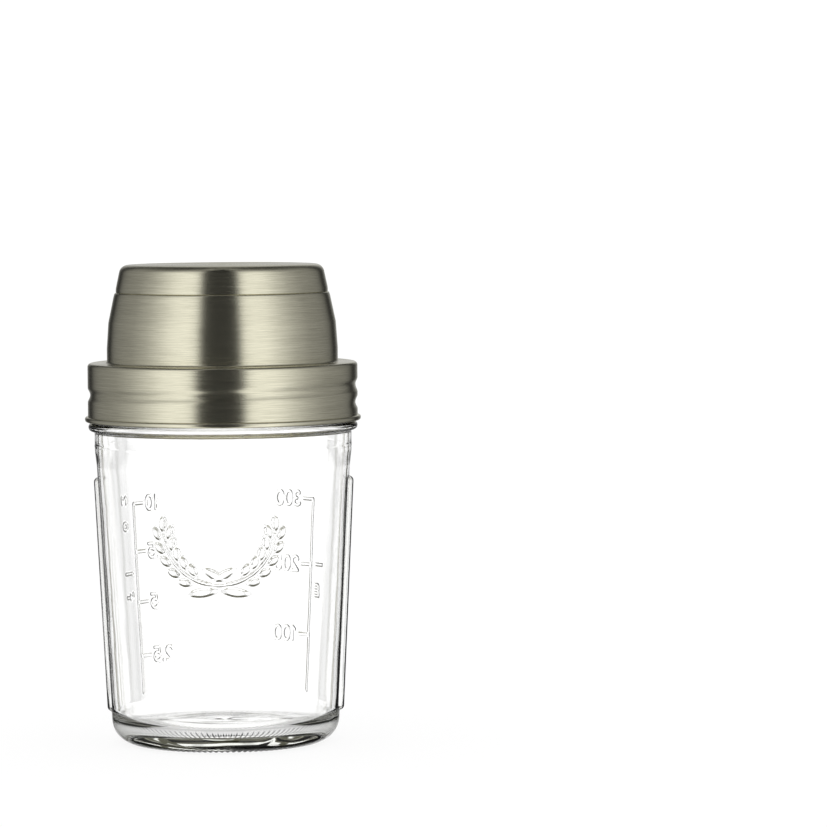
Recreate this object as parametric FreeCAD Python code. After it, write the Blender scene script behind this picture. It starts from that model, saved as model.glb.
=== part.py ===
"""Starter jar: a tapered glass jar closed by a drawn steel screw lid that doubles as a measure.

Millimetres, +Z up. The origin is the middle of the base, on the surface that the jar stands on.
The front of the jar faces -Y and its two grip ribs lie at +X and -X.
"""

import FreeCAD
import Part
import math
import os

# Screw lid, drawn from one sheet of stainless steel
sheet = 0.5
collar_radius = 44.0
collar_depth = 19.1
collar_round = 1.2
curl_rise = 1.0
curl_thickness = 1.6
curl_height = 1.7
ledge_width = 6.35
ledge_fillet = 0.8
dome_height = 22.9
dome_barrel_radius = 62.0
dome_barrel_start = 4.6
dome_lean_deg = 15.8
dome_top_round = 0.8
spigot_height = 3.0
spigot_round = 1.0
spigot_root_fillet = 0.15

# Cap over the spigot, a second and smaller measure
cap_height = 9.0
cap_setback = 0.35
cap_skirt = 1.2
cap_skirt_blend = 6.0
cap_lean_deg = 12.0
cap_round = 3.0

# Sealing ring between the ledge and the glass rim
seal_thickness = 1.4
seal_width = 4.4
seal_round = 0.4

# Glass jar
jar_height = 122.4
wall = 1.6
heel_wall = 2.4
body_taper_deg = 2.83
shoulder_height = 5.0
shoulder_flare = 0.6
shoulder_blend = 14.0
band_height = 6.4
bead_height = 2.6
bead_setback = 0.1
bead_round = 1.25
bead_fillet = 0.7
rim_round = 0.7
mouth_blend = 60.0
heel_round = 8.0
inner_heel_round = 6.5
bearing_width = 3.6
push_up_rise = 2.6
push_up_slope = 7.0
push_up_blend = 9.0
bearing_edge_round = 1.0
floor_thickness = 5.2
floor_crown = 1.0
floor_crown_slope = 9.0
floor_crown_blend = 16.0

# Grip ribs on the two sides of the jar
rib_width = 10.5
rib_rise = 1.4
rib_end_round = 1.6
rib_heel_gap = 1.9
rib_shoulder_gap = 3.9

# Fits between the pieces
thread_room = 2.2
seal_side_clearance = 0.6
spigot_clearance = 0.2
bead_clearance = 0.4

# Heights that the pieces share, from the base up
ledge_top = jar_height + seal_thickness + sheet
collar_bottom = ledge_top - collar_depth
bead_top = collar_bottom - bead_clearance
bead_bottom = bead_top - bead_height
band_bottom = bead_bottom - band_height
shoulder_level = band_bottom - shoulder_height
dome_top = ledge_top + dome_height
cap_top = dome_top + cap_height

# Slopes
dome_lean = math.radians(dome_lean_deg)
cap_lean = math.radians(cap_lean_deg)
body_taper = math.radians(body_taper_deg)

# Radii that the pieces share
collar_bore = collar_radius - sheet
neck_radius = collar_bore - thread_room
mouth_radius = neck_radius - wall
dome_radius = collar_radius - ledge_width
barrel_corner = ledge_top + dome_barrel_start + dome_barrel_radius * math.tan(dome_lean / 2)
dome_top_radius = dome_radius - (dome_top - barrel_corner) * math.tan(dome_lean)
cap_radius = dome_top_radius - cap_setback


def rounded(corners):
    """Edges along corners (radius, height, round): straight runs joined by tangent arcs.

    A round that is longer than its run is limited by that run.
    """
    points = [FreeCAD.Vector(r, 0, z) for r, z, _ in corners]
    runs = [(b - a).Length for a, b in zip(points, points[1:])]
    turns = [(a - b).getAngle(c - b) / 2 for a, b, c in zip(points, points[1:], points[2:])]
    wanted = [0] + [size / math.tan(half) for half, (_, _, size) in zip(turns, corners[1:-1])] + [0]
    room = [run / max(run, a + b) for run, a, b in zip(runs, wanted, wanted[1:])]
    edges = []
    start = points[0]
    for i, half in enumerate(turns, 1):
        reach = wanted[i] * min(room[i - 1], room[i])
        back = (points[i - 1] - points[i]).normalize()
        ahead = (points[i + 1] - points[i]).normalize()
        first = points[i] + back * reach
        last = points[i] + ahead * reach
        if (first - start).Length > Part.Precision.confusion():
            edges.append(Part.LineSegment(start, first).toShape())
        if reach:
            size = reach * math.tan(half)
            middle = points[i] + (back + ahead).normalize() * (size / math.sin(half) - size)
            edges.append(Part.Arc(first, middle, last).toShape())
        start = last
    edges.append(Part.LineSegment(start, points[-1]).toShape())
    return edges


def turned(edges):
    """The solid of a closed outline turned about Z."""
    face = Part.Face(Part.Wire(edges))
    return face.revolve(FreeCAD.Vector(0, 0, 0), FreeCAD.Vector(0, 0, 1), 360)


def drawn(corners):
    """A turned shell of sheet thickness whose outer line runs from its edge up to the axis."""
    skin = Part.Wire(rounded(corners)).makeOffset2D(sheet, join=2, fill=True, openResult=True)
    return skin.revolve(FreeCAD.Vector(0, 0, 0), FreeCAD.Vector(0, 0, 1), 360)


def ring(inner, outer, bottom, top, size):
    """A turned ring with its four edges rounded."""
    middle = (bottom + top) / 2
    corners = [
        (outer, middle, 0),
        (outer, top, size),
        (inner, top, size),
        (inner, bottom, size),
        (outer, bottom, size),
        (outer, middle, 0),
    ]
    return turned(rounded(corners))


def body_radius(height):
    """Outer radius of the tapered body, widest at the shoulder."""
    return neck_radius - (shoulder_level - height) * math.tan(body_taper)


def glass_outline():
    """Half section of the jar: base, outer wall, neck, rim, bore and floor."""
    heel_reach = math.tan((math.pi / 2 - body_taper) / 2)
    bearing_outer = body_radius(0) - heel_round * heel_reach
    bearing_inner = bearing_outer - bearing_width
    band_radius = neck_radius + shoulder_flare
    bead_radius = collar_radius - bead_setback
    floor_corner = body_radius(floor_thickness) - heel_wall / math.cos(body_taper)
    crown_foot = floor_corner - inner_heel_round * heel_reach
    crown_edge = crown_foot - floor_crown_slope
    crown_top = floor_thickness + floor_crown
    base = [
        (0, push_up_rise, 0),
        (bearing_inner - push_up_slope, push_up_rise, push_up_blend),
        (bearing_inner, 0, bearing_edge_round),
        (body_radius(0), 0, heel_round),
    ]
    outside = [
        (neck_radius, shoulder_level, shoulder_blend),
        (band_radius, band_bottom, shoulder_blend),
        (band_radius, bead_bottom, bead_fillet),
        (bead_radius, bead_bottom, bead_round),
        (bead_radius, bead_top, bead_round),
        (neck_radius, bead_top, bead_fillet),
        (neck_radius, jar_height, rim_round),
    ]
    inside = [
        (mouth_radius, jar_height, rim_round),
        (mouth_radius, shoulder_level, mouth_blend),
        (floor_corner, floor_thickness, inner_heel_round),
        (crown_foot, floor_thickness, 0),
        (crown_edge, crown_top, floor_crown_blend),
        (0, crown_top, 0),
    ]
    axis = Part.LineSegment(FreeCAD.Vector(0, 0, crown_top), FreeCAD.Vector(0, 0, push_up_rise))
    return rounded(base + outside + inside) + [axis.toShape()]


def grip_rib(side):
    """A round-ended bar lying along the taper, sunk so that only its crown stands out."""
    bar_radius = (rib_width ** 2 / 4 + rib_rise ** 2) / (2 * rib_rise)
    depth = (bar_radius - rib_rise) / math.cos(body_taper)
    low = heel_round + rib_heel_gap
    high = shoulder_level - rib_shoulder_gap
    foot = FreeCAD.Vector(side * (body_radius(low) - depth), 0, low)
    head = FreeCAD.Vector(side * (body_radius(high) - depth), 0, high)
    run = head - foot
    bar = turned(rounded([
        (0, 0, 0),
        (bar_radius, 0, rib_end_round),
        (bar_radius, run.Length, rib_end_round),
        (0, run.Length, 0),
        (0, 0, 0),
    ]))
    bar.Placement = FreeCAD.Placement(foot, FreeCAD.Rotation(FreeCAD.Vector(0, 0, 1), run))
    return bar


def wall_core():
    """The space within the middle of the body's wall, which trims the sunk side of the ribs."""
    half_wall = wall / math.cos(body_taper) / 2
    corners = [
        (0, floor_thickness, 0),
        (body_radius(floor_thickness) - half_wall, floor_thickness, 0),
        (body_radius(shoulder_level) - half_wall, shoulder_level, 0),
        (0, shoulder_level, 0),
        (0, floor_thickness, 0),
    ]
    return turned(rounded(corners))


def glass_jar():
    """The turned jar with its two grip ribs."""
    core = wall_core()
    ribs = [grip_rib(side).cut(core) for side in (-1, 1)]
    return turned(glass_outline()).fuse(ribs).removeSplitter().Solids[0]


def screw_lid():
    """Collar, ledge, barrel dome and closed spigot, with the collar's lower edge rolled into a curl."""
    spigot_radius = cap_radius - sheet - spigot_clearance
    spigot_top_radius = spigot_radius - spigot_height * math.tan(cap_lean)
    spigot_top = dome_top + spigot_height
    shell = drawn([
        (collar_radius, collar_bottom + curl_height / 2, 0),
        (collar_radius, ledge_top, collar_round),
        (dome_radius, ledge_top, ledge_fillet),
        (dome_radius, barrel_corner, dome_barrel_radius),
        (dome_top_radius, dome_top, dome_top_round),
        (spigot_radius, dome_top, spigot_root_fillet),
        (spigot_top_radius, spigot_top, spigot_round),
        (0, spigot_top, 0),
    ])
    return shell.fuse(curl()).removeSplitter().Solids[0]


def curl():
    """The rolled edge, an upright round-ended bead round the foot of the collar."""
    outer = collar_radius + curl_rise
    return ring(
        outer - curl_thickness, outer, collar_bottom, collar_bottom + curl_height, curl_thickness / 2
    )


def lid_cap():
    """A shallow cup turned upside down, standing on the dome's shoulder."""
    top_radius = cap_radius - (cap_height - cap_skirt) * math.tan(cap_lean)
    return drawn([
        (cap_radius, dome_top, 0),
        (cap_radius, dome_top + cap_skirt, cap_skirt_blend),
        (top_radius, cap_top, cap_round),
        (0, cap_top, 0),
    ])


def sealing_ring():
    """A flat ring with softened edges, pressed between the ledge and the rim."""
    outer = collar_bore - seal_side_clearance
    return ring(outer - seal_width, outer, jar_height, jar_height + seal_thickness, seal_round)


os.makedirs("parts", exist_ok=True)
for make in (glass_jar, screw_lid, lid_cap, sealing_ring):
    piece = make()
    piece.exportStep("parts/" + make.__name__ + ".step")
    print(make.__name__, piece.ShapeType, piece.isValid(), round(piece.Volume, 1), piece.BoundBox)
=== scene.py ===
"""Looks of the starter jar: clear pressed glass, a brushed steel screw lid with its cap, and a silicone seal.

Sizes are millimetres, in the frame's axes, and each mesh is scaled to metres as it is made.
Angles round the jar run anticlockwise from +X, seen from above, so the front is at -90 degrees.
"""

import math

import bpy
import numpy as np
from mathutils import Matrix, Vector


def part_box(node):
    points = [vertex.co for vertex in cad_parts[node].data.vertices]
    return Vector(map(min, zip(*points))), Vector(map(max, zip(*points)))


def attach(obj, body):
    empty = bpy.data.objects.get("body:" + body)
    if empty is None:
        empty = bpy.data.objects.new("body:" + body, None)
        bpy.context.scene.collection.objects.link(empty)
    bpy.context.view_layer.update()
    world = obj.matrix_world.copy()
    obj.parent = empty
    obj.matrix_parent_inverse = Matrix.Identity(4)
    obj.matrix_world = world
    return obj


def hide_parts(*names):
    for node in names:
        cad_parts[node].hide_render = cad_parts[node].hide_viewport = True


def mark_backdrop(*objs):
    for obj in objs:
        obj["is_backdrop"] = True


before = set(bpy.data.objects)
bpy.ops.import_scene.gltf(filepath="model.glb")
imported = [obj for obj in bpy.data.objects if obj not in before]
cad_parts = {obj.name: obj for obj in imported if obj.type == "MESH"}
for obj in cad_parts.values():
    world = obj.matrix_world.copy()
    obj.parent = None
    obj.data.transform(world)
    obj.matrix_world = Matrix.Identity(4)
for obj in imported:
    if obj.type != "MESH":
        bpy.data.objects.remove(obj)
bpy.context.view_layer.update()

MM = 0.001
FRONT = -math.pi / 2
BACK = math.pi / 2


def box_mm(node):
    """Lowest and highest corner of a frame node, in millimetres."""
    return [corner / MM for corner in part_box(node)]


# Levels and radii read from the frame
_, jar_high = box_mm("glass_jar")
lid_low, lid_high = box_mm("screw_lid")
cap_low, cap_high = box_mm("lid_cap")
seal_low, seal_high = box_mm("sealing_ring")
rim = jar_high.z
collar_bottom = lid_low.z
spigot_top = lid_high.z
dome_top = cap_low.z
cap_top = cap_high.z
curl_radius = lid_high.x

# Steel sheet of the lid and cap
sheet = 0.5
curl_rise = 1.0
curl_thickness = 1.6
curl_height = 1.7
curl_join = 0.4
curl_tuck = 0.3
curl_crease = 0.05
collar_round = 1.2
ledge_width = 6.35
ledge_fillet = 0.8
dome_barrel_radius = 62.0
dome_barrel_start = 4.6
dome_lean = math.radians(15.8)
dome_top_round = 0.8
spigot_round = 1.0
spigot_root_fillet = 0.15
spigot_clearance = 0.2
cap_skirt = 1.2
cap_skirt_blend = 6.0
cap_lean = math.radians(12.0)
cap_round = 3.0
cap_edge_round = 0.2
collar_radius = curl_radius - curl_rise
collar_bore = collar_radius - sheet
curl_top = collar_bottom + curl_height
ledge_top = seal_high.z + sheet
dome_radius = collar_radius - ledge_width
barrel_corner = ledge_top + dome_barrel_start + dome_barrel_radius * math.tan(dome_lean / 2)
dome_top_radius = dome_radius - (dome_top - barrel_corner) * math.tan(dome_lean)
cap_radius = cap_high.x

# Sealing ring
seal_width = 4.4
seal_round = 0.4

# Screw thread, right-handed: its groove in the collar and its ridge on the neck
thread_lead = 5.6
thread_start = 111.1
groove_from = -0.06
groove_to = 1.06
groove_fade = 0.07
groove_half = 2.2
groove_depth = 0.8
ridge_above_groove = 2.75
ridge_from = -0.35
ridge_to = 1.05
ridge_fade = 0.09
ridge_half = 1.25
ridge_height = 1.65

# Glass
thread_room = 2.2
wall = 1.6
heel_wall = 2.4
body_taper = math.radians(2.83)
shoulder_height = 5.0
shoulder_flare = 0.6
shoulder_blend = 14.0
band_height = 6.4
bead_height = 2.6
bead_clearance = 0.4
bead_setback = 0.1
bead_round = 1.25
bead_fillet = 0.7
rim_round = 0.7
mouth_blend = 60.0
heel_round = 8.0
inner_heel_round = 6.5
bearing_width = 3.6
bearing_edge_round = 1.0
push_up_rise = 2.6
push_up_slope = 7.0
push_up_blend = 9.0
floor_thickness = 5.2
floor_crown = 1.0
floor_crown_slope = 9.0
floor_crown_blend = 16.0
neck_radius = collar_bore - thread_room
bead_top = collar_bottom - bead_clearance
bead_bottom = bead_top - bead_height
band_bottom = bead_bottom - band_height
shoulder_level = band_bottom - shoulder_height

# Relief pressed into the glass
rib_width = 10.5
rib_rise = 1.4
rib_end_round = 1.6
rib_heel_gap = 1.9
rib_shoulder_gap = 3.9
rib_low = heel_round + rib_heel_gap
rib_high = shoulder_level - rib_shoulder_gap
rib_foot = 0.12
rib_reach = math.radians(12)
parting_rise = 0.32
parting_half = 0.95
bearing_bars = 104
bar_depth = 0.45
bar_level = 1.1
seam_level = band_bottom + 1.5
seam_rise = 0.12
seam_half = 0.55
mark_rise = 0.5
mark_half = 0.8
left_scale_turn = math.radians(53)
right_scale_turn = math.radians(47)
scale_foot = 13.0
tick_length = 5.0
scale_reach = math.radians(36)
figure_height = 4.6
figure_gap = 1.4
unit_height = 4.2
unit_gap = 2.6
unit_spread = 6.5
millilitres = ("100", "200", "300")
fluid_ounces = ("2.5", "5", "7.5", "10")
ml_per_fluid_ounce = 29.574
wreath_level = 66.0
wreath_radius = 18.5
wreath_lift = 7.5
wreath_rise = 1.0
wreath_edge = 1.0
wreath_reach = math.radians(42)
wreath_half = 20.0
stalk_half = 0.85
grain_long = 3.1
grain_wide = 1.6
grain_out = 2.35
grain_tilt = 24
leaves = ((-76, 3.0, -22, 6.2, 1.75), (-84, -3.2, 24, 5.4, 1.65))
floor_ripple = 0.14
floor_ripple_step = 6.5

# Mesh: faces round each piece, the parts that a face with relief is divided into, and steps along the lines
glass_columns = 208
shortest_step = 0.16
steel_columns = 192
relief_parts = 4
outer_step = 1.6
inner_step = 4.5
neck_step = 0.42
rib_end_step = 0.27
lid_step = 0.6
cap_step = 1.0
seal_step = 0.8


def unit(vector):
    return vector / np.linalg.norm(vector)


def rounded(corners, turn=math.radians(9)):
    """Points along corners (radius, height, round): straight runs joined by tangent arcs."""
    points = [np.array(corners[0][:2], float)]
    for before, (r, z, size), after in zip(corners, corners[1:], corners[2:]):
        here = np.array((r, z), float)
        back = unit(np.array(before[:2]) - here)
        ahead = unit(np.array(after[:2]) - here)
        half = math.acos(np.clip(back @ ahead, -1, 1)) / 2
        if not size:
            points.append(here)
            continue
        centre = here + unit(back + ahead) * size / math.sin(half)
        first = here + back * size / math.tan(half) - centre
        last = here + ahead * size / math.tan(half) - centre
        begin = math.atan2(first[1], first[0])
        sweep = (math.atan2(last[1], last[0]) - begin + math.pi) % math.tau - math.pi
        steps = max(2, math.ceil(min(abs(sweep) / turn, abs(sweep) * size / shortest_step)))
        for step in range(steps + 1):
            angle = begin + sweep * step / steps
            points.append(centre + size * np.array((math.cos(angle), math.sin(angle))))
    points.append(np.array(corners[-1][:2], float))
    return np.array(points)


def spaced(points, step):
    """The same line with its long runs divided into pieces of about one step."""
    line = [points[0]]
    for a, b in zip(points, points[1:]):
        pieces = max(1, math.ceil(np.linalg.norm(b - a) / step))
        line += [a + (b - a) * k / pieces for k in range(1, pieces + 1)]
    return np.array(line)


def with_levels(line, levels):
    """The same line with more points where it climbs through some levels."""
    points = [line[0]]
    for a, b in zip(line, line[1:]):
        inside = [z for z in levels if a[1] + 0.06 < z < b[1] - 0.06]
        points += [a + (b - a) * (z - a[1]) / (b[1] - a[1]) for z in inside] + [b]
    return np.array(points)


def outward(line):
    """Unit normals of a line, on the side that lies outside for a wall drawn from foot to top."""
    along = np.gradient(line, axis=0)
    normals = np.stack([along[:, 1], -along[:, 0]], axis=1)
    return normals / np.linalg.norm(normals, axis=1)[:, None]


def inset(line, thickness):
    """The inner face of a sheet whose outer face is the line."""
    inner = line - outward(line) * thickness
    inner[-1] = line[-1] - (0, thickness)
    return inner


def turned(name, line, columns, relief=None, parts=1, closed=False):
    """A mesh of the line turned about Z.

    relief(angles, line) gives three moves along the normals. Faces that the sharp one touches are divided
    into parts each way, those of the fluted one only round the axis, and those of the gentle one not at
    all. The faces beside them share the new points.
    """
    if closed:
        line = np.concatenate([line, line[:1]])
    rows, wide = len(line) - 1, columns * parts
    tall = rows * parts
    steps = np.arange(tall + 1) / parts
    fine = np.stack([np.interp(steps, np.arange(rows + 1), line[:, axis]) for axis in (0, 1)], axis=1)
    angles = np.arange(wide) * math.tau / wide
    sharp, fluted, gentle = relief(angles, fine) if relief else (np.zeros((tall + 1, wide)),) * 3
    move = sharp + fluted + gentle
    normals = outward(fine)
    radius = fine[:, :1] + move * normals[:, :1]
    height = fine[:, 1:] + move * normals[:, 1:]
    points = np.stack([radius * np.cos(angles), radius * np.sin(angles), height], axis=2) * MM
    points = points.reshape(-1, 3).tolist()
    reach = np.concatenate([[0], np.cumsum(np.linalg.norm(np.diff(fine, axis=0), axis=1))])
    reach = (reach / reach[-1]).tolist()

    def touched(part):
        busy = (np.abs(part[:-1]) > 1e-4).reshape(rows, parts, columns, parts).any(axis=(1, 3))
        busy |= np.roll(busy, 1, 1) | np.roll(busy, -1, 1)
        grown = np.zeros((rows + 2, columns), bool)
        for shift in (0, 1, 2):
            grown[shift:rows + shift] |= busy
        grown[0] = grown[-1] = False
        return grown

    both_ways = touched(sharp)
    round_axis = (touched(fluted) | both_ways).tolist()
    both_ways = both_ways[1:-1].tolist()
    poles = [row for row in (0, tall) if fine[row, 0] < 1e-6]
    seen, faces, places = {}, [], []

    def add(ring):
        face = []
        for row, column in ring:
            key = (row % tall if closed else row) * wide + (0 if row in poles else column % wide)
            face.append(seen.setdefault(key, len(seen)))
            places.append((column / wide, reach[row]))
        faces.append(face)

    for i in range(rows):
        below, here, above = round_axis[i:i + 3]
        full = both_ways[i]
        low, high = i * parts, (i + 1) * parts
        for j in range(columns):
            left, right = j * parts, (j + 1) * parts
            if full[j]:
                for a in range(low, high):
                    for b in range(left, right):
                        add([(a, b), (a, b + 1), (a + 1, b + 1), (a + 1, b)])
                continue
            step = 1 if here[j] else parts
            for b in range(left, right, step):
                c = b + step
                ring = [(low, b)]
                if below[j]:
                    ring += [(low, k) for k in range(b + 1, c)]
                if low not in poles:
                    ring.append((low, c))
                if c == right and full[(j + 1) % columns]:
                    ring += [(a, c) for a in range(low + 1, high)]
                ring.append((high, c))
                if above[j]:
                    ring += [(high, k) for k in range(c - 1, b, -1)]
                if high not in poles:
                    ring.append((high, b))
                if b == left and full[j - 1]:
                    ring += [(a, b) for a in range(high - 1, low, -1)]
                add(ring)

    mesh = bpy.data.meshes.new(name)
    mesh.from_pydata([points[key] for key in seen], [], faces)
    mesh.uv_layers.new(name="OFBake").data.foreach_set("uv", np.array(places, np.float32).ravel())
    mesh.polygons.foreach_set("use_smooth", np.ones(len(mesh.polygons), bool))
    mesh.update()
    piece = bpy.data.objects.new(name, mesh)
    bpy.context.scene.collection.objects.link(piece)
    return piece


def wrapped(turn, centre):
    """Angles counted from centre, between minus and plus half a turn."""
    return (turn - centre + math.pi) % math.tau - math.pi


def fade(value, low, high, width):
    """One between low and high, falling smoothly to nothing over width at each end."""
    edge = np.clip(np.minimum(value - low, high - value) / width, 0, 1)
    return edge * edge * (3 - 2 * edge)


def helix_ridge(turn, level, start, half, first, last, ends):
    """Height, from 0 to 1, of a round ridge that climbs one lead in each turn."""
    best = np.zeros(turn.shape)
    for lap in range(-1, 3):
        along = turn / math.tau + lap
        across = (level - start - thread_lead * along) / half
        ridge = np.clip(1 - across ** 2, 0, 1) ** 1.5
        best = np.maximum(best, ridge * fade(along, first, last, ends))
    return best


# Glass jar

def body_radius(level):
    return neck_radius - (shoulder_level - level) * math.tan(body_taper)


def glass_lines():
    """The jar's outer line, from the middle of the base to the rim, and its inner line, back to the floor."""
    heel_reach = math.tan((math.pi / 2 - body_taper) / 2)
    bearing_inner = body_radius(0) - heel_round * heel_reach - bearing_width
    band_radius = neck_radius + shoulder_flare
    bead_radius = collar_radius - bead_setback
    floor_corner = body_radius(floor_thickness) - heel_wall / math.cos(body_taper)
    crown_foot = floor_corner - inner_heel_round * heel_reach
    crown_top = floor_thickness + floor_crown
    mouth_radius = neck_radius - wall
    land = neck_radius - wall / 2
    outer = rounded([
        (0, push_up_rise, 0),
        (bearing_inner - push_up_slope, push_up_rise, push_up_blend),
        (bearing_inner, 0, bearing_edge_round),
        (body_radius(0), 0, heel_round),
        (neck_radius, shoulder_level, shoulder_blend),
        (band_radius, band_bottom, shoulder_blend),
        (band_radius, bead_bottom, bead_fillet),
        (bead_radius, bead_bottom, bead_round),
        (bead_radius, bead_top, bead_round),
        (neck_radius, bead_top, bead_fillet),
        (neck_radius, rim, rim_round),
        (land, rim, 0),
    ], math.radians(6))
    inner = rounded([
        (land, rim, 0),
        (mouth_radius, rim, rim_round),
        (mouth_radius, shoulder_level, mouth_blend),
        (floor_corner, floor_thickness, inner_heel_round),
        (crown_foot - floor_crown_slope, crown_top, floor_crown_blend),
        (0, crown_top, 0),
    ], math.radians(6))
    return outer, inner


def level_of_volume(inner, millilitre):
    """Height at which the inside holds this volume."""
    line = spaced(inner[::-1], 0.2)
    radius = (line[1:, 0] + line[:-1, 0]) / 2
    held = np.concatenate([[0], np.cumsum(math.pi * radius ** 2 * np.diff(line[:, 1]))]) / 1000
    return float(np.interp(millilitre, held, line[:, 1]))


def bow(x, y, wide, high, first, last):
    """Points along part of an ellipse, by degrees."""
    turns = np.radians(np.linspace(first, last, 3 + int(abs(last - first) / 24)))
    return [(x + wide * math.cos(t), y + high * math.sin(t)) for t in turns]


# Strokes of each figure in a cell of unit height, and the cell's width
FIGURES = {
    "0": (0.60, [bow(0.30, 0.50, 0.30, 0.50, 0, 360)]),
    "1": (0.40, [[(0.08, 0.80), (0.30, 1.0), (0.30, 0)]]),
    "2": (0.58, [bow(0.28, 0.72, 0.28, 0.28, 165, -40) + [(0, 0), (0.58, 0)]]),
    "3": (0.58, [bow(0.27, 0.75, 0.25, 0.25, 150, -90), bow(0.27, 0.25, 0.30, 0.25, 90, -150)]),
    "5": (0.58, [[(0.54, 1.0), (0.10, 1.0), (0.05, 0.55)] + bow(0.27, 0.32, 0.30, 0.32, 120, -150)]),
    "7": (0.56, [[(0, 1.0), (0.56, 1.0), (0.20, 0)]]),
    ".": (0.20, [[(0.08, 0), (0.08, 0.04)]]),
    "m": (0.84, [[(0, 0), (0, 0.64)], bow(0.21, 0.43, 0.21, 0.21, 180, 0) + [(0.42, 0)],
                 bow(0.63, 0.43, 0.21, 0.21, 180, 0) + [(0.84, 0)]]),
    "l": (0.16, [[(0.08, 0), (0.08, 1.0)]]),
    "f": (0.38, [[(0.14, 0), (0.14, 0.76)] + bow(0.36, 0.76, 0.22, 0.24, 180, 70),
                 [(0, 0.60), (0.34, 0.60)]]),
    "o": (0.54, [bow(0.27, 0.31, 0.27, 0.31, 0, 360)]),
    "z": (0.48, [[(0, 0.62), (0.48, 0.62), (0, 0), (0.48, 0)]]),
    " ": (0.30, []),
}


def text_width(text, height):
    return sum((FIGURES[letter][0] + 0.2) * height for letter in text) - 0.2 * height


def figures(text, left, foot, height):
    """Strokes of a short text whose lower left corner is at (left, foot)."""
    strokes = []
    for letter in text:
        width, cell = FIGURES[letter]
        strokes += [[(left + x * height, foot + y * height) for x, y in stroke] for stroke in cell]
        left += (width + 0.2) * height
    return strokes


def climbing(text, side, foot, height):
    """Strokes of a short text turned to read upwards, its letters spread out, to the left of side."""
    strokes = []
    for letter in text:
        width, cell = FIGURES[letter]
        strokes += [[(side - y * height, foot + x * height) for x, y in stroke] for stroke in cell]
        foot += width * height + unit_spread
    return strokes


def nearest(across, level, strokes):
    """Distance from each point to the nearest stroke."""
    best = np.full(across.shape, np.inf)
    for stroke in strokes:
        for (ax, ay), (bx, by) in zip(stroke, stroke[1:]):
            dx, dy = bx - ax, by - ay
            along = ((across - ax) * dx + (level - ay) * dy) / max(dx * dx + dy * dy, 1e-12)
            along = np.clip(along, 0, 1)
            best = np.minimum(best, np.hypot(across - ax - along * dx, level - ay - along * dy))
    return best


def pressed(depth, edge):
    """Height, from 0 to 1, of a raised shape with a soft edge at a depth inside its outline."""
    share = np.clip(depth / edge, 0, 1)
    return share * share * (3 - 2 * share)


def swelled(distance, half):
    """Height, from 0 to 1, of a soft raised line at a distance from its middle."""
    return np.cos(np.clip(distance / half, 0, 1) * math.pi / 2) ** 2


def scale_strokes(inner, marks, volume, unit_name, side):
    """An upright line with a tick and a figure at each marked volume, on its right (1) or its left (-1)."""
    top = level_of_volume(inner, volume * float(marks[-1]))
    strokes = [[(0, scale_foot), (0, top)]]
    for mark in marks:
        level = level_of_volume(inner, volume * float(mark))
        strokes.append([(0, level), (side * tick_length, level)])
        start = tick_length + figure_gap
        left = start if side > 0 else -start - text_width(mark, figure_height)
        strokes += figures(mark, left, level - figure_height / 2, figure_height)
    unit_side = -unit_gap if side > 0 else unit_gap + unit_height
    return strokes + climbing(unit_name, unit_side, (scale_foot + top) / 2, unit_height)


def ear_place(degrees, out=0.0):
    """A point of the right-hand ear by its angle round the wreath, out from the stalk."""
    turn = math.radians(degrees)
    size = wreath_radius + out
    return size * math.cos(turn), size * math.sin(turn) + wreath_lift


def grain(across, level, degrees, out, tilt, long, wide):
    """Depth inside a pointed grain that leans from the stalk by tilt."""
    x, y = ear_place(degrees, out)
    lean = math.radians(degrees + 90 + tilt)
    along = (across - x) * math.cos(lean) + (level - y) * math.sin(lean)
    aside = (level - y) * math.cos(lean) - (across - x) * math.sin(lean)
    return (1 - np.sqrt(np.abs(along / long) ** 1.6 + (aside / wide) ** 2)) * wide


def wreath(across, level):
    """Two raised wheat ears, each with leaves at its foot, that curve up on the left and the right."""
    depth = np.full(across.shape, -1.0)
    for side in (-1, 1):
        x = across * side
        stalk = [ear_place(degrees) for degrees in range(-112, -7, 8)]
        depth = np.maximum(depth, stalk_half - nearest(x, level, [stalk]))
        for degrees in range(-58, -5, 13):
            for out, tilt in ((grain_out, -grain_tilt), (-grain_out, grain_tilt)):
                depth = np.maximum(depth, grain(x, level, degrees, out, tilt, grain_long, grain_wide))
        depth = np.maximum(depth, grain(x, level, 3, 0, 0, grain_long * 1.1, grain_wide))
        for leaf in leaves:
            depth = np.maximum(depth, grain(x, level, *leaf))
    return wreath_rise * pressed(depth, wreath_edge)


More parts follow.
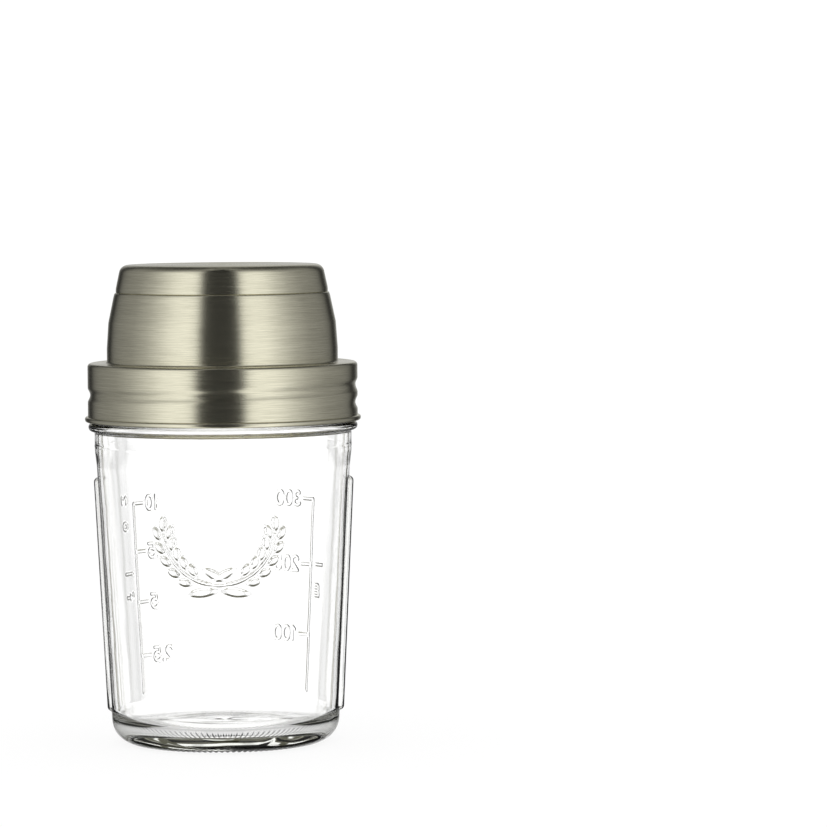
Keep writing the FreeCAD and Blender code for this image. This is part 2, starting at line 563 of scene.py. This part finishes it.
def glass_relief(inner, outer_rows):
    """Ribs, neck thread, bearing bars, seam, scales and wreath of the outer face, and the floor's ripples."""
    bar_radius = (rib_width ** 2 / 4 + rib_rise ** 2) / (2 * rib_rise)
    sunk = bar_radius - rib_rise
    ml_strokes = scale_strokes(inner, millilitres, 1, "ml", 1)
    ounce_strokes = scale_strokes(inner, fluid_ounces, ml_per_fluid_ounce, "fl oz", -1)

    def rib(across, level):
        body = body_radius(level)
        short = rib_end_round - np.clip(np.minimum(level - rib_low, rib_high - level), 0, rib_end_round)
        size = bar_radius - rib_end_round + np.sqrt(rib_end_round ** 2 - short ** 2)
        aside = (body - sunk) * np.sin(across / body)
        crown = (body - sunk) * np.cos(across / body) + np.sqrt(np.maximum(size ** 2 - aside ** 2, 0)) - body
        crown -= parting_rise * (1 - swelled(np.abs(across), parting_half))
        return np.where(crown > rib_foot, crown, np.maximum(crown + rib_foot, 0) ** 2 / (4 * rib_foot))

    def thread(turn, level):
        return ridge_height * helix_ridge(turn, level, thread_start + ridge_above_groove, ridge_half,
                                          ridge_from, ridge_to, ridge_fade)

    def bars(turn, level):
        between = 0.5 - 0.5 * np.cos(bearing_bars * turn)
        return -bar_depth * between * np.clip((bar_level - level) / bar_level, 0, 1)

    def seam(turn, level):
        strength = 0.7 + 0.3 * np.sin(23 * turn) * np.sin(9 * turn + 1)
        return seam_rise * strength * swelled(np.abs(level - seam_level), seam_half)

    def marks(strokes):
        return lambda across, level: mark_rise * swelled(nearest(across, level, strokes), mark_half)

    def front(across, level):
        return wreath(across, level - wreath_level)

    def relief(angles, line):
        level = line[:, 1]
        outside = np.arange(len(level)) <= outer_rows * relief_parts
        sharp, fluted, gentle = np.zeros((3, len(level), len(angles)))

        def stamp(kind, shape, centre, reach, low, high, on_body=True):
            rows = np.flatnonzero(outside & (level >= low) & (level < high))
            turn = wrapped(angles, centre)
            columns = np.flatnonzero(np.abs(turn) < reach)
            scale = body_radius(level[rows]) if on_body else np.ones(len(rows))
            across = scale[:, None] * turn[columns][None, :]
            kind[np.ix_(rows, columns)] += shape(across, level[rows][:, None] + 0 * across)

        for side in (0, math.pi):
            stamp(fluted, rib, side, rib_reach, rib_low - 1, rib_high + 1)
        stamp(gentle, thread, math.pi, 4, bead_top + bead_fillet, rim - rim_round, False)
        stamp(fluted, bars, 0, 4, -1, bar_level, False)
        stamp(gentle, seam, 0, 4, seam_level - 1, seam_level + 1, False)
        scales = ((ml_strokes, BACK - right_scale_turn), (ounce_strokes, BACK + left_scale_turn))
        for strokes, centre in scales:
            stamp(sharp, marks(strokes), centre, scale_reach, scale_foot - 2, shoulder_level)
        stamp(sharp, front, FRONT, wreath_reach, wreath_level - wreath_half, wreath_level + wreath_half)

        crown_reach = inner[-2][0] + floor_crown_slope
        inside = ~outside & (level < floor_thickness + floor_crown + 0.01)
        far = np.clip(1 - line[:, 0] / crown_reach, 0, 1) * inside
        wander = 1.9 * np.sin(2 * angles + 0.7) + 1.3 * np.sin(3 * angles)
        swirl = line[:, :1] / floor_ripple_step * math.tau + wander
        strength = np.minimum(far * 4, 1) * np.minimum(line[:, 0] / 4, 1)
        gentle += floor_ripple * np.cos(swirl) * strength[:, None]
        return sharp, fluted, gentle

    return relief


def glass_jar():
    outer, inner = glass_lines()
    levels = [seam_level + seam_half * step for step in (-1, -0.66, -0.33, 0, 0.33, 0.66, 1)]
    levels += np.arange(bead_top + bead_fillet, rim - rim_round, neck_step).tolist()
    for end in (rib_low, rib_high):
        levels += np.arange(end - rib_end_round, end + rib_end_round, rib_end_step).tolist()
    outer = with_levels(spaced(outer, outer_step), sorted(levels))
    line = np.concatenate([outer, spaced(inner, inner_step)[1:]])
    return turned("jar_glass", line, glass_columns, glass_relief(inner, len(outer) - 1), relief_parts)


# Steel lid and cap

def lid_line():
    """The lid's sheet: its underside from the middle out, the curl, and its outer face back to the middle."""
    spigot_radius = cap_radius - sheet - spigot_clearance
    spigot_top_radius = spigot_radius - (spigot_top - dome_top) * math.tan(cap_lean)
    shell = rounded([
        (collar_radius, curl_top + curl_join, 0),
        (collar_radius, ledge_top, collar_round),
        (dome_radius, ledge_top, ledge_fillet),
        (dome_radius, barrel_corner, dome_barrel_radius),
        (dome_top_radius, dome_top, dome_top_round),
        (spigot_radius, dome_top, spigot_root_fillet),
        (spigot_top_radius, spigot_top, spigot_round),
        (0, spigot_top, 0),
    ])
    shell = spaced(shell, lid_step)
    curl_inner = curl_radius - curl_thickness
    roll = curl_thickness / 2 - 0.02
    curl = rounded([
        (collar_bore, curl_top + curl_join, 0),
        (curl_inner, curl_top - curl_tuck, curl_join),
        (curl_inner, collar_bottom, roll),
        (curl_radius, collar_bottom, roll),
        (curl_radius, curl_top, roll),
        (collar_radius, curl_top, curl_crease),
        (collar_radius, curl_top + curl_join, 0),
    ])
    return np.concatenate([inset(shell, sheet)[::-1], curl[1:-1], shell])


def collar_groove(angles, line):
    """The rolled thread, pressed inwards through the whole sheet."""
    level = line[:, 1]
    on_collar = (level > curl_top + curl_join) & (level < ledge_top - collar_round)
    rows = np.flatnonzero(on_collar & (line[:, 0] > collar_bore - 1))
    side = np.where(outward(line)[rows, :1] > 0, -1.0, 1.0)
    pressed_in = np.zeros((len(level), len(angles)))
    turn, height = np.broadcast_arrays(angles[None, :], level[rows][:, None])
    groove = helix_ridge(turn, height, thread_start, groove_half, groove_from, groove_to, groove_fade)
    pressed_in[rows] = groove_depth * groove * side
    return np.zeros_like(pressed_in), np.zeros_like(pressed_in), pressed_in


def screw_lid():
    return turned("lid_steel", lid_line(), steel_columns, collar_groove)


def lid_cap():
    top_radius = cap_radius - (cap_top - dome_top - cap_skirt) * math.tan(cap_lean)
    shell = rounded([
        (cap_radius, dome_top + cap_edge_round, 0),
        (cap_radius, dome_top + cap_skirt, cap_skirt_blend),
        (top_radius, cap_top, cap_round),
        (0, cap_top, 0),
    ], math.radians(5))
    shell = spaced(shell, cap_step)
    bore = cap_radius - sheet
    edge = rounded([
        (bore, dome_top + cap_edge_round, 0),
        (bore, dome_top, cap_edge_round * 0.9),
        (cap_radius, dome_top, cap_edge_round * 0.9),
        (cap_radius, dome_top + cap_edge_round, 0),
    ])
    line = np.concatenate([inset(shell, sheet)[::-1], edge[1:-1], shell])
    return turned("cap_steel", line, steel_columns)


def sealing_ring():
    outer = seal_high.x
    inner = outer - seal_width
    middle = (seal_low.z + seal_high.z) / 2
    corners = [
        (outer, middle, 0),
        (outer, seal_high.z, seal_round),
        (inner, seal_high.z, seal_round),
        (inner, seal_low.z, seal_round),
        (outer, seal_low.z, seal_round),
        (outer, middle, 0),
    ]
    line = spaced(rounded(corners), seal_step)[:-1]
    return turned("seal_silicone", line, steel_columns, closed=True)


# Materials

def new_material(name):
    """A node material with its shader and output."""
    material = bpy.data.materials.new(name)
    material.use_nodes = True
    tree = material.node_tree
    return material, tree, tree.nodes["Principled BSDF"], tree.nodes["Material Output"]


def node(tree, kind, **values):
    """A node with some of its settings and input values filled in."""
    made = tree.nodes.new(kind)
    for key, value in values.items():
        if hasattr(made, key):
            setattr(made, key, value)
        else:
            made.inputs[key].default_value = value
    return made


def brush_group():
    """Fine lines that run round the axis, as a brushed sheet has: their height and their tone."""
    group = bpy.data.node_groups.new("brush_lines", "ShaderNodeTree")
    for name, kind in (("Place", "NodeSocketVector"), ("Lines per metre", "NodeSocketFloat")):
        group.interface.new_socket(name, in_out="INPUT", socket_type=kind)
    for name in ("Height", "Tone"):
        group.interface.new_socket(name, in_out="OUTPUT", socket_type="NodeSocketFloat")
    link = group.links.new
    entry = group.nodes.new("NodeGroupInput")
    leave = group.nodes.new("NodeGroupOutput")
    axes = node(group, "ShaderNodeSeparateXYZ")
    flat = node(group, "ShaderNodeCombineXYZ")
    length = node(group, "ShaderNodeVectorMath", operation="LENGTH")
    direction = node(group, "ShaderNodeVectorMath", operation="NORMALIZE")
    climb = node(group, "ShaderNodeMath", operation="SUBTRACT")
    count = node(group, "ShaderNodeMath", operation="MULTIPLY")
    spread = node(group, "ShaderNodeVectorMath", operation="SCALE", Scale=3.2)
    shift = node(group, "ShaderNodeCombineXYZ")
    place = node(group, "ShaderNodeVectorMath", operation="ADD")
    link(entry.outputs["Place"], axes.inputs[0])
    link(axes.outputs["X"], flat.inputs["X"])
    link(axes.outputs["Y"], flat.inputs["Y"])
    link(flat.outputs[0], length.inputs[0])
    link(flat.outputs[0], direction.inputs[0])
    link(direction.outputs[0], spread.inputs[0])
    link(axes.outputs["Z"], climb.inputs[0])
    link(length.outputs["Value"], climb.inputs[1])
    link(climb.outputs[0], count.inputs[0])
    link(entry.outputs["Lines per metre"], count.inputs[1])
    link(count.outputs[0], shift.inputs["Z"])
    link(spread.outputs[0], place.inputs[0])
    link(shift.outputs[0], place.inputs[1])
    fine = node(group, "ShaderNodeTexNoise", Scale=1.0, Detail=4.0, Roughness=0.75)
    broad = node(group, "ShaderNodeTexNoise", Scale=0.12, Detail=2.0, Roughness=0.5)
    link(place.outputs[0], fine.inputs["Vector"])
    link(place.outputs[0], broad.inputs["Vector"])
    mix = node(group, "ShaderNodeMath", operation="MULTIPLY_ADD")
    mix.inputs[1].default_value = 0.12
    link(broad.outputs["Fac"], mix.inputs[0])
    half = node(group, "ShaderNodeMath", operation="MULTIPLY")
    half.inputs[1].default_value = 0.88
    link(fine.outputs["Fac"], half.inputs[0])
    link(half.outputs[0], mix.inputs[2])
    link(fine.outputs["Fac"], leave.inputs["Height"])
    link(mix.outputs[0], leave.inputs["Tone"])
    return group


def brushed_steel():
    """Stainless sheet with brush lines running round the lid, which draw highlights out upright."""
    material, tree, shader, _ = new_material("brushed_steel")
    link = tree.links.new
    shader.inputs["Metallic"].default_value = 1.0
    shader.inputs["Anisotropic"].default_value = 0.85
    shader.inputs["Anisotropic Rotation"].default_value = 0.25
    tangent = node(tree, "ShaderNodeTangent", direction_type="RADIAL", axis="Z")
    link(tangent.outputs[0], shader.inputs["Tangent"])
    place = node(tree, "ShaderNodeTexCoord")
    lines = node(tree, "ShaderNodeGroup", node_tree=brush_group())
    lines.inputs["Lines per metre"].default_value = 5400.0
    link(place.outputs["Object"], lines.inputs["Place"])
    colour = node(tree, "ShaderNodeValToRGB")
    colour.color_ramp.elements[0].position = 0.34
    colour.color_ramp.elements[0].color = (0.64, 0.616, 0.478, 1)
    colour.color_ramp.elements[1].position = 0.66
    colour.color_ramp.elements[1].color = (0.95, 0.917, 0.727, 1)
    link(lines.outputs["Tone"], colour.inputs["Fac"])
    link(colour.outputs["Color"], shader.inputs["Base Color"])
    rough = node(tree, "ShaderNodeMapRange")
    rough.inputs["To Min"].default_value = 0.20
    rough.inputs["To Max"].default_value = 0.30
    link(lines.outputs["Tone"], rough.inputs["Value"])
    link(rough.outputs["Result"], shader.inputs["Roughness"])
    bump = node(tree, "ShaderNodeBump", Strength=0.12, Distance=0.00006)
    link(lines.outputs["Height"], bump.inputs["Height"])
    link(bump.outputs["Normal"], shader.inputs["Normal"])
    return material


def clear_glass():
    """Pressed soda glass: clear, faintly grey in depth, with the slight swim of a moulded surface."""
    material, tree, shader, output = new_material("clear_glass")
    link = tree.links.new
    shader.inputs["Base Color"].default_value = (1.0, 1.0, 1.0, 1)
    shader.inputs["Transmission Weight"].default_value = 1.0
    shader.inputs["Roughness"].default_value = 0.0
    shader.inputs["IOR"].default_value = 1.5
    place = node(tree, "ShaderNodeTexCoord")
    swim = node(tree, "ShaderNodeTexNoise", Scale=55.0, Detail=1.0)
    bump = node(tree, "ShaderNodeBump", Strength=0.25, Distance=0.0004)
    link(place.outputs["Object"], swim.inputs["Vector"])
    link(swim.outputs["Fac"], bump.inputs["Height"])
    link(bump.outputs["Normal"], shader.inputs["Normal"])
    depth = node(tree, "ShaderNodeVolumeAbsorption", Density=7.0)
    depth.inputs["Color"].default_value = (0.68, 0.70, 0.60, 1)
    link(depth.outputs[0], output.inputs["Volume"])
    return material


def white_silicone():
    """Matt milky silicone."""
    material, tree, shader, _ = new_material("white_silicone")
    link = tree.links.new
    place = node(tree, "ShaderNodeTexCoord")
    cloud = node(tree, "ShaderNodeTexNoise", Scale=420.0, Detail=3.0)
    tone = node(tree, "ShaderNodeValToRGB")
    tone.color_ramp.elements[0].color = (0.78, 0.78, 0.75, 1)
    tone.color_ramp.elements[1].color = (0.90, 0.90, 0.88, 1)
    bump = node(tree, "ShaderNodeBump", Strength=0.15, Distance=0.0001)
    link(place.outputs["Object"], cloud.inputs["Vector"])
    link(cloud.outputs["Fac"], tone.inputs["Fac"])
    link(tone.outputs["Color"], shader.inputs["Base Color"])
    link(cloud.outputs["Fac"], bump.inputs["Height"])
    link(bump.outputs["Normal"], shader.inputs["Normal"])
    shader.inputs["Roughness"].default_value = 0.55
    return material


# Studio

# Brightness of the reflected tent by angle from the front, in degrees, and by height
softbox_stops = [
    (0, 0.045), (15.7, 0.045), (18.7, 0.10), (21.6, 0.60), (25.4, 0.95), (34, 1.05), (48, 1.0),
    (56, 0.86), (64, 0.70), (80, 0.45), (100, 0.29), (128, 0.215), (138, 0.16), (143, 0.09),
    (148, 0.03), (155, 0.03), (162, 0.14), (170, 0.38), (175, 0.60), (180, 0.60),
]
softbox_rise = [(0.0, 1.0), (0.58, 1.0), (0.80, 0.40), (0.93, 0.14), (0.97, 0.20), (1.0, 0.75)]
softbox_turn = math.radians(0.3)

# The tent seen through the glass: upright flags by degrees from the nearest quarter turn, and belts and
# ceiling by height
flag_dark = (0.090, 0.088, 0.064)
flag_grey = (0.34, 0.335, 0.28)
flag_stops = [(0, 1.0), (5.5, 1.0), (7, 0.70), (9.5, 0.70), (11, 1.0),
              (20.6, 1.0), (21.3, flag_dark), (24.7, flag_dark), (25.4, 1.0),
              (34.4, 1.0), (35.2, flag_grey), (39.6, flag_grey), (40.4, 1.0), (45, 1.0)]
flag_rise = [(-1.0, 1.0), (-0.67, 1.0), (-0.65, flag_dark), (-0.57, flag_dark), (-0.55, 1.0),
             (-0.44, 1.0), (-0.42, flag_grey), (-0.36, flag_grey), (-0.34, 1.0),
             (0.15, 1.0), (0.23, flag_dark), (1.0, flag_dark)]
flag_turn = math.radians(1.25)
through_strength = 1.25

# Shade on the floor under the jar by radius in millimetres, for the base of the glass
shade_reach = 0.070
shade_stops = [(0, 1.0), (23, 1.0), (25.5, 0.70), (31, 0.70), (34, 0.52), (38, 1.0), (62, 1.0)]


def plain_mesh(name, points, faces, material):
    mesh = bpy.data.meshes.new(name)
    mesh.from_pydata(points, [], faces)
    mesh.materials.append(material)
    item = bpy.data.objects.new(name, mesh)
    bpy.context.scene.collection.objects.link(item)
    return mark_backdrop(item) or item


def ramp_of(tree, socket, stops):
    """Brightness, or colour, by a value from 0 to 1."""
    ramp = node(tree, "ShaderNodeValToRGB")
    while len(ramp.color_ramp.elements) < len(stops):
        ramp.color_ramp.elements.new(0.5)
    for element, (place, level) in zip(ramp.color_ramp.elements, stops):
        element.position = place
        element.color = (*level, 1) if isinstance(level, tuple) else (level, level, level, 1)
    tree.links.new(socket, ramp.inputs["Fac"])
    return ramp.outputs["Color"]


def math_of(tree, operation, *values):
    """A math node on sockets and numbers."""
    made = node(tree, "ShaderNodeMath", operation=operation)
    for socket, value in zip(made.inputs, values):
        if isinstance(value, (int, float)):
            socket.default_value = value
        else:
            tree.links.new(value, socket)
    return made.outputs[0]


def tent_axes(tree):
    """Angle from the front, 0 to 1 for a half turn, and height, -1 to 1 from straight down to straight up."""
    place = node(tree, "ShaderNodeTexCoord")
    straight = node(tree, "ShaderNodeVectorMath", operation="NORMALIZE")
    axes = node(tree, "ShaderNodeSeparateXYZ")
    tree.links.new(place.outputs["Object"], straight.inputs[0])
    tree.links.new(straight.outputs[0], axes.inputs[0])
    forward = math_of(tree, "MULTIPLY", axes.outputs["Y"], -1.0)
    turn = math_of(tree, "ARCTAN2", axes.outputs["X"], forward)
    side = math_of(tree, "ABSOLUTE", turn)
    return math_of(tree, "DIVIDE", side, math.pi), axes.outputs["Z"]


def softbox_colour(tree):
    """A dark gap in front, a tall soft light on each side of it, dim flanks and a dim ceiling."""
    side, height = tent_axes(tree)
    around = ramp_of(tree, side, [(degrees / 180, level) for degrees, level in softbox_stops])
    return math_of(tree, "MULTIPLY", around, ramp_of(tree, height, softbox_rise))


def flag_colour(tree):
    """White walls with upright flags from pale to dark and two belts low down, under a dark ceiling."""
    side, height = tent_axes(tree)
    fold = math_of(tree, "MULTIPLY", math_of(tree, "PINGPONG", side, 0.25), 4.0)
    around = ramp_of(tree, fold, [(degrees / 45, level) for degrees, level in flag_stops])
    share = math_of(tree, "MULTIPLY_ADD", height, 0.5, 0.5)
    ceiling = ramp_of(tree, share, [((rise + 1) / 2, level) for rise, level in flag_rise])
    darker = node(tree, "ShaderNodeMix", data_type="RGBA", blend_type="DARKEN")
    darker.inputs[0].default_value = 1.0
    tree.links.new(around, darker.inputs[6])
    tree.links.new(ceiling, darker.inputs[7])
    return darker.outputs[2]


def glow(name, colour_of, strength=1.0):
    """An emission material whose colour comes from colour_of(tree)."""
    material = bpy.data.materials.new(name)
    material.use_nodes = True
    tree = material.node_tree
    tree.nodes.clear()
    output = node(tree, "ShaderNodeOutputMaterial")
    emission = node(tree, "ShaderNodeEmission", Strength=strength)
    tree.links.new(colour_of(tree), emission.inputs["Color"])
    tree.links.new(emission.outputs[0], output.inputs["Surface"])
    return material


def pale_floor():
    """A wide white floor with a faint contact shadow, and the shade under the jar that its glass shows."""
    material, _, shader, _ = new_material("floor_white")
    shader.inputs["Base Color"].default_value = (0.12, 0.12, 0.12, 1)
    shader.inputs["Roughness"].default_value = 0.9
    shader.inputs["Specular IOR Level"].default_value = 0.0
    shader.inputs["Emission Color"].default_value = (1, 1, 1, 1)
    shader.inputs["Emission Strength"].default_value = 0.89
    reach, drop = 6.0, -0.00006
    corners = [(-reach, -reach, drop), (reach, -reach, drop), (reach, reach, drop), (-reach, reach, drop)]
    floor = plain_mesh("studio_floor", corners, [(0, 1, 2, 3)], material)
    floor.visible_glossy = False
    floor.visible_transmission = False

    def shade(tree):
        place = node(tree, "ShaderNodeTexCoord")
        length = node(tree, "ShaderNodeVectorMath", operation="LENGTH")
        tree.links.new(place.outputs["Object"], length.inputs[0])
        share = math_of(tree, "DIVIDE", length.outputs["Value"], shade_reach)
        stops = [(radius * MM / shade_reach, level) for radius, level in shade_stops]
        return ramp_of(tree, share, stops)

    sides = 96
    turns = [math.tau * k / sides for k in range(sides)]
    ring = [(shade_reach * math.cos(turn), shade_reach * math.sin(turn), drop / 2) for turn in turns]
    look = glow("shade_under_jar", shade, through_strength)
    disc = plain_mesh("studio_shade", ring, [tuple(range(sides))], look)
    disc.visible_camera = False
    disc.visible_diffuse = False
    disc.visible_glossy = False
    disc.visible_shadow = False


def tent(name, colour_of, strength, reach):
    """A round tent of light about the jar that neither the camera nor a matt surface sees."""
    rings, columns = 24, 72
    points, faces = [], []
    for ring in range(rings + 1):
        tilt = math.pi * (ring / rings - 0.5)
        for column in range(columns):
            turn = math.tau * column / columns
            points.append((reach * math.cos(tilt) * math.cos(turn), reach * math.cos(tilt) * math.sin(turn),
                           reach * math.sin(tilt)))
    for ring in range(rings):
        for column in range(columns):
            beside = (column + 1) % columns
            faces.append((ring * columns + column, ring * columns + beside,
                          (ring + 1) * columns + beside, (ring + 1) * columns + column))
    shell = plain_mesh(name, points, faces, glow(name, colour_of, strength))
    shell.visible_camera = False
    shell.visible_diffuse = False
    shell.visible_shadow = False
    return shell


def studio_tents():
    """One tent for what the steel and glass reflect, and one for what shows through the glass."""
    reflected = tent("tent_reflected", softbox_colour, 1.0, 3.0)
    reflected.visible_transmission = False
    reflected.rotation_euler.z = softbox_turn
    through = tent("tent_through", flag_colour, through_strength, 3.0)
    through.visible_glossy = False
    through.rotation_euler.z = flag_turn


def white_world():
    world = bpy.data.worlds.new("white_room")
    world.use_nodes = True
    background = world.node_tree.nodes["Background"]
    background.inputs["Color"].default_value = (1, 1, 1, 1)
    background.inputs["Strength"].default_value = 1.05
    bpy.context.scene.world = world


def camera():
    """A long lens a little above the jar, level with the front and set off to the right."""
    focal_pixels, picture_width, sensor = 4294.0, 827.0, 36.0
    data = bpy.data.cameras.new("camera")
    data.sensor_width = sensor
    data.lens = sensor * focal_pixels / picture_width
    item = bpy.data.objects.new("camera", data)
    item.location = (0.06275, -1.40, 0.1878)
    item.rotation_euler = (math.radians(90 - 3.303), math.radians(0.4), 0)
    bpy.context.scene.collection.objects.link(item)
    bpy.context.scene.camera = item


steel, glass, silicone = brushed_steel(), clear_glass(), white_silicone()
for make, body, slot, material in (
    (glass_jar, "jar", "clear_glass", glass),
    (screw_lid, "lid", "brushed_steel", steel),
    (lid_cap, "cap", "brushed_steel", steel),
    (sealing_ring, "seal", "white_silicone", silicone),
):
    piece = make()
    piece.data.materials.append(material)
    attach(piece, body)
    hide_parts(make.__name__)

pale_floor()
studio_tents()
white_world()
camera()
bpy.context.scene.view_settings.view_transform = "Standard"
